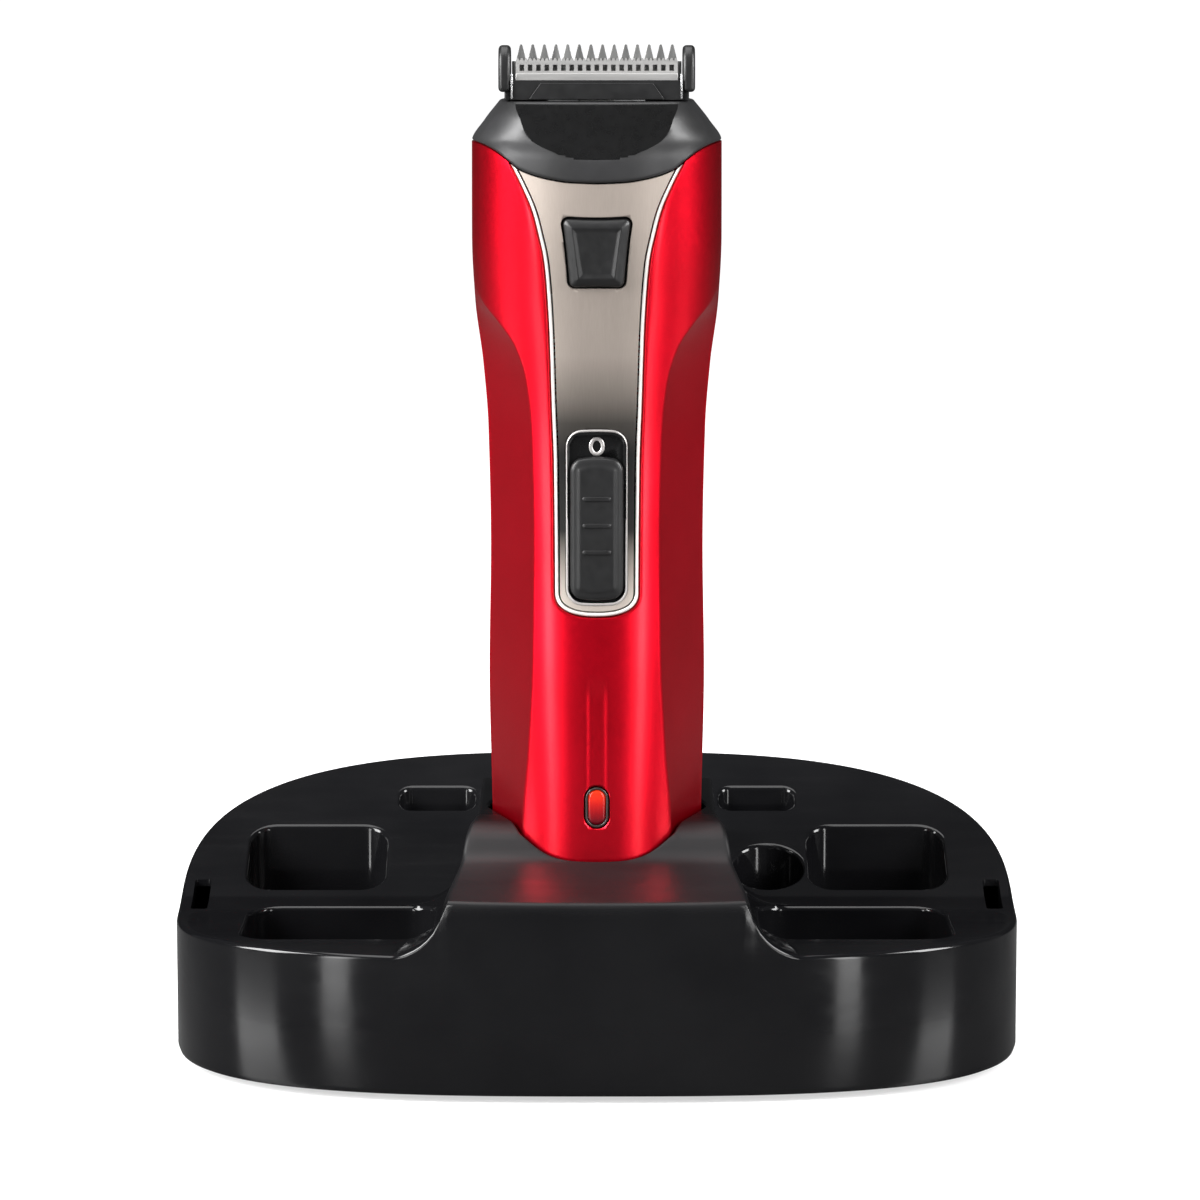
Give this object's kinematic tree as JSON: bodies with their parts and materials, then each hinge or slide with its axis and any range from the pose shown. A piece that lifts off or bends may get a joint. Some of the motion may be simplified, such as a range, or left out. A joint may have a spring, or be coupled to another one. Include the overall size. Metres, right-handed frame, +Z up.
{
  "type": "cordless beard trimmer",
  "caption": "Cordless beard trimmer with a clip-on T-blade head, standing in the cradle of its charging stand.",
  "frame": {"origin": "centre of the stand, on the surface its feet stand on", "axes": "+Z up along the trimmer, +X to the right seen from the front, -Y towards the front face with the switch"},
  "size_m": [0.1618, 0.1, 0.1937],
  "materials": {
    "red_lacquer": "satin metallic red lacquer over moulded plastic",
    "gloss_black": "gloss",
    "satin_black": "fine satin texture",
    "gunmetal_plate": "satin gunmetal metallised",
    "silver_trim": "bright",
    "bright_steel": "ground",
    "dark_steel": "dark coated",
    "brass_contact": "bright",
    "battery_sleeve": "shrink sleeve",
    "board_green": "solder mask",
    "grey_plastic": "moulded",
    "white_plastic": "moulded",
    "red_lens": "clear red",
    "foot_rubber": "matte"
  },
  "bodies": {
    "stand": {"stand_shell": "gloss_black", "stand_base": "satin_black", "pin_block": "satin_black", "power_socket": "satin_black", "power_pin": "brass_contact", "stand_circuit_board": "board_green", "foot_front_left": "foot_rubber", "foot_front_right": "foot_rubber", "foot_back_left": "foot_rubber", "foot_back_right": "foot_rubber", "base_screw_front_left": "bright_steel", "base_screw_front_right": "bright_steel", "base_screw_back_left": "bright_steel", "base_screw_back_right": "bright_steel"},
    "handle": {"front_shell": "red_lacquer", "rear_shell": "satin_black", "bottom_cap": "satin_black", "face_plate": "gunmetal_plate", "face_plate_trim": "silver_trim", "button_spring": "bright_steel", "switch_track": "satin_black", "led_lens": "red_lens", "status_led": "white_plastic", "circuit_board": "board_green", "battery": "battery_sleeve", "battery_contact_top": "bright_steel", "battery_contact_bottom": "bright_steel", "inner_frame": "grey_plastic", "motor": "bright_steel", "motor_end_cap": "white_plastic", "charge_contact_left": "brass_contact", "charge_contact_right": "brass_contact", "case_screw_1": "bright_steel", "case_screw_2": "bright_steel"},
    "head": {"head_housing": "satin_black", "head_base": "satin_black", "blade_holder": "satin_black", "blade_comb": "dark_steel", "blade_screw_left": "bright_steel", "blade_screw_right": "bright_steel", "blade_spring": "bright_steel"},
    "cutter": {"blade_cutter": "bright_steel", "drive_fork": "white_plastic"},
    "rotor": {"motor_shaft": "bright_steel", "eccentric_cam": "white_plastic"},
    "switch": {"switch_slider": "satin_black"},
    "button": {"release_button": "satin_black"},
    "pin_left": {"charge_pin_left": "brass_contact"},
    "pin_right": {"charge_pin_right": "brass_contact"}
  },
  "joints": [
    {"name": "trimmer_lift", "type": "slide", "parent": "stand", "child": "handle", "axis": [0, 0, 1], "range_m": [0, 0.05]},
    {"name": "head_pull", "type": "slide", "parent": "handle", "child": "head", "axis": [0, 0, 1], "range_m": [0, 0.02]},
    {"name": "cutter_slide", "type": "slide", "parent": "head", "child": "cutter", "axis": [1, 0, 0], "range_m": [-0.0008, 0.0008]},
    {"name": "motor_spin", "type": "hinge", "parent": "handle", "child": "rotor", "pos_m": [0, -0.014, 0.14], "axis": [0, 0, 1], "continuous": true},
    {"name": "switch_slide", "type": "slide", "parent": "handle", "child": "switch", "axis": [0, 0, 1], "range_m": [0, 0.004]},
    {"name": "button_press", "type": "slide", "parent": "handle", "child": "button", "axis": [0, 1, 0], "range_m": [0, 0.0012], "stiffness_N_per_m": 400},
    {"name": "pin_left_press", "type": "slide", "parent": "stand", "child": "pin_left", "axis": [0, 0, 1], "range_m": [-0.0008, 0], "stiffness_N_per_m": 200},
    {"name": "pin_right_press", "type": "slide", "parent": "stand", "child": "pin_right", "axis": [0, 0, 1], "range_m": [-0.0008, 0], "stiffness_N_per_m": 200}
  ]
}
